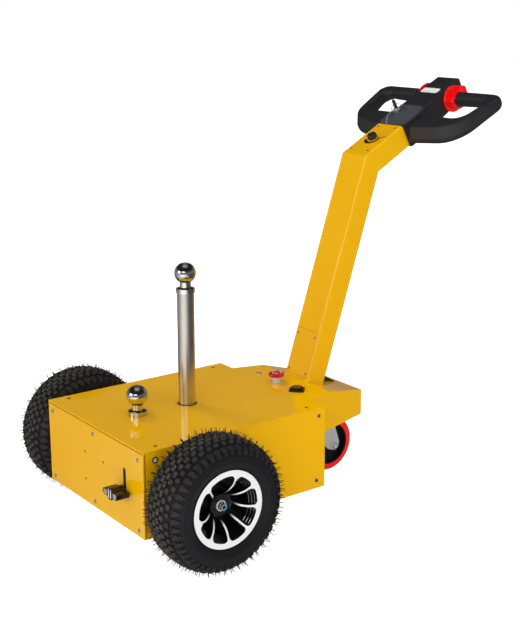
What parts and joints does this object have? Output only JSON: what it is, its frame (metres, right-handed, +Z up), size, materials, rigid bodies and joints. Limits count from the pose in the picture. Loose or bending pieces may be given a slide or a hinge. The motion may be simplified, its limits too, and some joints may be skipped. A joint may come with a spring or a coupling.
{
  "type": "pedestrian electric tow tug",
  "caption": "Walk-behind battery tow tug: yellow sheet body on knobbly drive wheels and a rear caster, low and tall tow balls, steering column with looped handle.",
  "frame": {"origin": "centre of the whole machine's footprint box, on the floor", "axes": "+Z up; the hitch end with the drive wheels faces -Y, the operator stands at +Y; +X is the machine's side with the charging socket"},
  "size_m": [0.713, 1.143, 0.9984],
  "materials": {
    "yellow_powder_coat": "gloss powder coat on sheet steel",
    "bare_steel": "ground steel, satin",
    "chrome_plate": "bright chrome plate",
    "zinc_plate": "zinc plated pressed steel",
    "cast_aluminium": "machined faces, black painted pockets",
    "tyre_rubber": "matt tread rubber",
    "black_plastic": "fine grained moulded plastic",
    "red_plastic": "gloss moulded plastic",
    "red_polyurethane": "satin polyurethane",
    "white_plastic": "blank plate",
    "battery_case": "moulded case",
    "dark_machinery": "satin black paint",
    "lamp_lens": "clear tinted lens"
  },
  "bodies": {
    "body": {"battery_left": "battery_case", "battery_right": "battery_case", "cable_gland": "black_plastic", "caster_plate": "zinc_plate", "charge_cap": "black_plastic", "charge_socket": "black_plastic", "chassis_frame": "yellow_powder_coat", "deck_cover": "yellow_powder_coat", "drive_motor": "dark_machinery", "estop_base": "zinc_plate", "estop_button": "red_plastic", "front_panel": "yellow_powder_coat", "handle_body": "black_plastic", "hitch_post": "bare_steel", "ignition_key": "black_plastic", "key_ring": "chrome_plate", "key_switch": "zinc_plate", "key_tether": "bare_steel", "label_plate": "white_plastic", "low_ball": "chrome_plate", "low_ball_nut": "zinc_plate", "neck_plate": "yellow_powder_coat", "post_ball": "chrome_plate", "post_socket": "dark_machinery", "rear_panel": "yellow_powder_coat", "release_knob": "black_plastic", "release_stud": "zinc_plate", "side_panel_left": "yellow_powder_coat", "side_panel_right": "yellow_powder_coat", "spare_key_one": "chrome_plate", "spare_key_two": "chrome_plate", "speed_knob": "black_plastic", "status_lamp": "lamp_lens", "tail_skirt": "yellow_powder_coat", "thumb_wheel_left": "red_plastic", "thumb_wheel_right": "red_plastic", "tiller_arm": "yellow_powder_coat", "tiller_cover": "yellow_powder_coat", "transaxle": "dark_machinery"},
    "wheel_left": {"axle_shaft_left": "zinc_plate", "hub_nut_left": "zinc_plate", "rim_left": "cast_aluminium", "tyre_left": "tyre_rubber"},
    "wheel_right": {"axle_shaft_right": "zinc_plate", "hub_nut_right": "zinc_plate", "rim_right": "cast_aluminium", "tyre_right": "tyre_rubber"},
    "caster_swivel": {"caster_fork": "zinc_plate", "caster_axle": "zinc_plate"},
    "caster_wheel": {"caster_core": "black_plastic", "caster_tyre": "red_polyurethane"}
  },
  "joints": [
    {"name": "wheel_left_spin", "type": "hinge", "parent": "body", "child": "wheel_left", "pos_m": [-0.2955, -0.40346, 0.152], "axis": [1, 0, 0], "continuous": true},
    {"name": "wheel_right_spin", "type": "hinge", "parent": "body", "child": "wheel_right", "pos_m": [0.2955, -0.40346, 0.152], "axis": [1, 0, 0], "continuous": true},
    {"name": "caster_swivel_turn", "type": "hinge", "parent": "body", "child": "caster_swivel", "pos_m": [0, 0.11154, 0.15], "axis": [0, 0, 1], "continuous": true},
    {"name": "caster_wheel_spin", "type": "hinge", "parent": "caster_swivel", "child": "caster_wheel", "pos_m": [0, 0.15354, 0.072], "axis": [1, 0, 0], "continuous": true}
  ]
}
